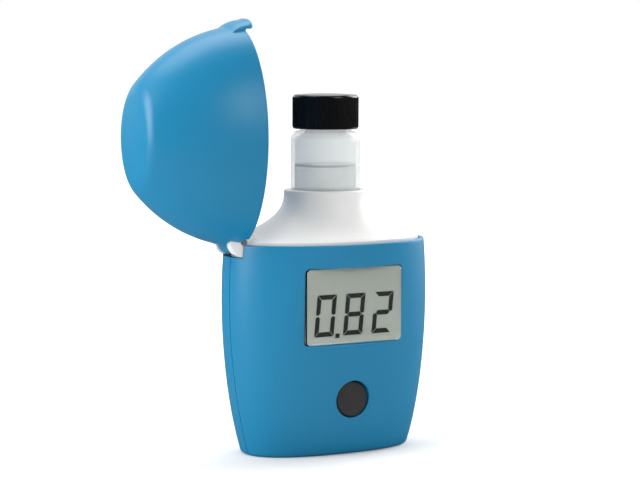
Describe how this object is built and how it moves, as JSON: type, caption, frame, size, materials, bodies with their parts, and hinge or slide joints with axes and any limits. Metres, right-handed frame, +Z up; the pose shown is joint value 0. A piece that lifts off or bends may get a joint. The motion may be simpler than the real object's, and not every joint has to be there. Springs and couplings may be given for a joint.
{
  "type": "digital water tester",
  "caption": "Pocket colorimeter: flattened barrel case with a digital display, push button, flared collar holding a capped glass vial, and a hinged dome lid.",
  "frame": {"origin": "centre of the base, on the surface that the tester stands on", "axes": "+Z up, -Y towards the display side, -X towards the lid hinge"},
  "size_m": [0.0855, 0.0368, 0.1144],
  "materials": {
    "blue_plastic": "satin moulded",
    "white_plastic": "satin moulded",
    "black_plastic": "glossy ribbed",
    "dark_plastic": "matt",
    "inner_plastic": "matt",
    "clear_plastic": "clear",
    "clear_glass": "clear",
    "water": "clear liquid",
    "circuit_board": "solder mask",
    "crystal": "reflective grey",
    "rubber": "matt",
    "steel": "plated",
    "brass": "plated",
    "battery_wrap": "printed sleeve, bare of text",
    "stopper_plastic": "translucent"
  },
  "bodies": {
    "case": {"front_shell": "blue_plastic", "rear_shell": "blue_plastic", "collar_frame": "white_plastic", "display_lens": "clear_plastic", "seat_spring": "steel", "cell_holder": "inner_plastic", "led": "clear_plastic", "interference_filter": "clear_glass", "photodiode": "black_plastic", "detector_board": "circuit_board", "main_board": "circuit_board", "crystal_panel": "crystal", "strip_frame": "inner_plastic", "contact_strip_top": "rubber", "contact_strip_bottom": "rubber", "key_switch": "steel", "microcontroller": "black_plastic", "battery_holder": "inner_plastic", "battery": "battery_wrap", "contact_plate": "brass", "board_screw_1": "steel", "board_screw_2": "steel", "case_screw_1": "steel", "case_screw_2": "steel", "case_screw_3": "steel", "case_screw_4": "steel", "well_seal_ring": "rubber", "hinge_pin": "steel"},
    "lid": {"lid": "blue_plastic"},
    "seat": {"vial_seat": "inner_plastic"},
    "vial": {"glass_vial": "clear_glass", "water_sample": "water"},
    "stopper": {"stopper": "stopper_plastic"},
    "cap": {"vial_cap": "black_plastic"},
    "button": {"button_cap": "dark_plastic"},
    "cover": {"battery_cover": "blue_plastic", "cover_screw": "steel", "contact_spring": "steel"}
  },
  "joints": [
    {"name": "lid_hinge", "type": "hinge", "parent": "case", "child": "lid", "pos_m": [-0.02712, 0, 0.05695], "axis": [0, -1, 0], "range_deg": [-90, 0]},
    {"name": "seat_travel", "type": "slide", "parent": "case", "child": "seat", "axis": [0, 0, 1], "range_m": [-0.0103, 0], "stiffness_N_per_m": 40, "springref_m": 0.015, "deforming": ["seat_spring"]},
    {"name": "vial_lift", "type": "slide", "parent": "seat", "child": "vial", "axis": [0, 0, 1], "range_m": [0, 0.05]},
    {"name": "cap_lift", "type": "slide", "parent": "vial", "child": "stopper", "axis": [0, 0, 1], "range_m": [0, 0.0075]},
    {"name": "cap_turn", "type": "hinge", "parent": "stopper", "child": "cap", "pos_m": [0, 0, 0.0857], "axis": [0, 0, 1], "range_deg": [0, 900]},
    {"name": "button_press", "type": "slide", "parent": "case", "child": "button", "axis": [0, 1, 0], "range_m": [0, 0.0006], "stiffness_N_per_m": 300},
    {"name": "battery_cover", "type": "slide", "parent": "case", "child": "cover", "axis": [0, 0, -1], "range_m": [0, 0.05]}
  ],
  "couplings": [
    {"joint": "lid_hinge", "follows": "seat_travel", "rad_per_m": 152.5},
    {"joint": "cap_turn", "follows": "cap_lift", "rad_per_m": 2094.4}
  ]
}
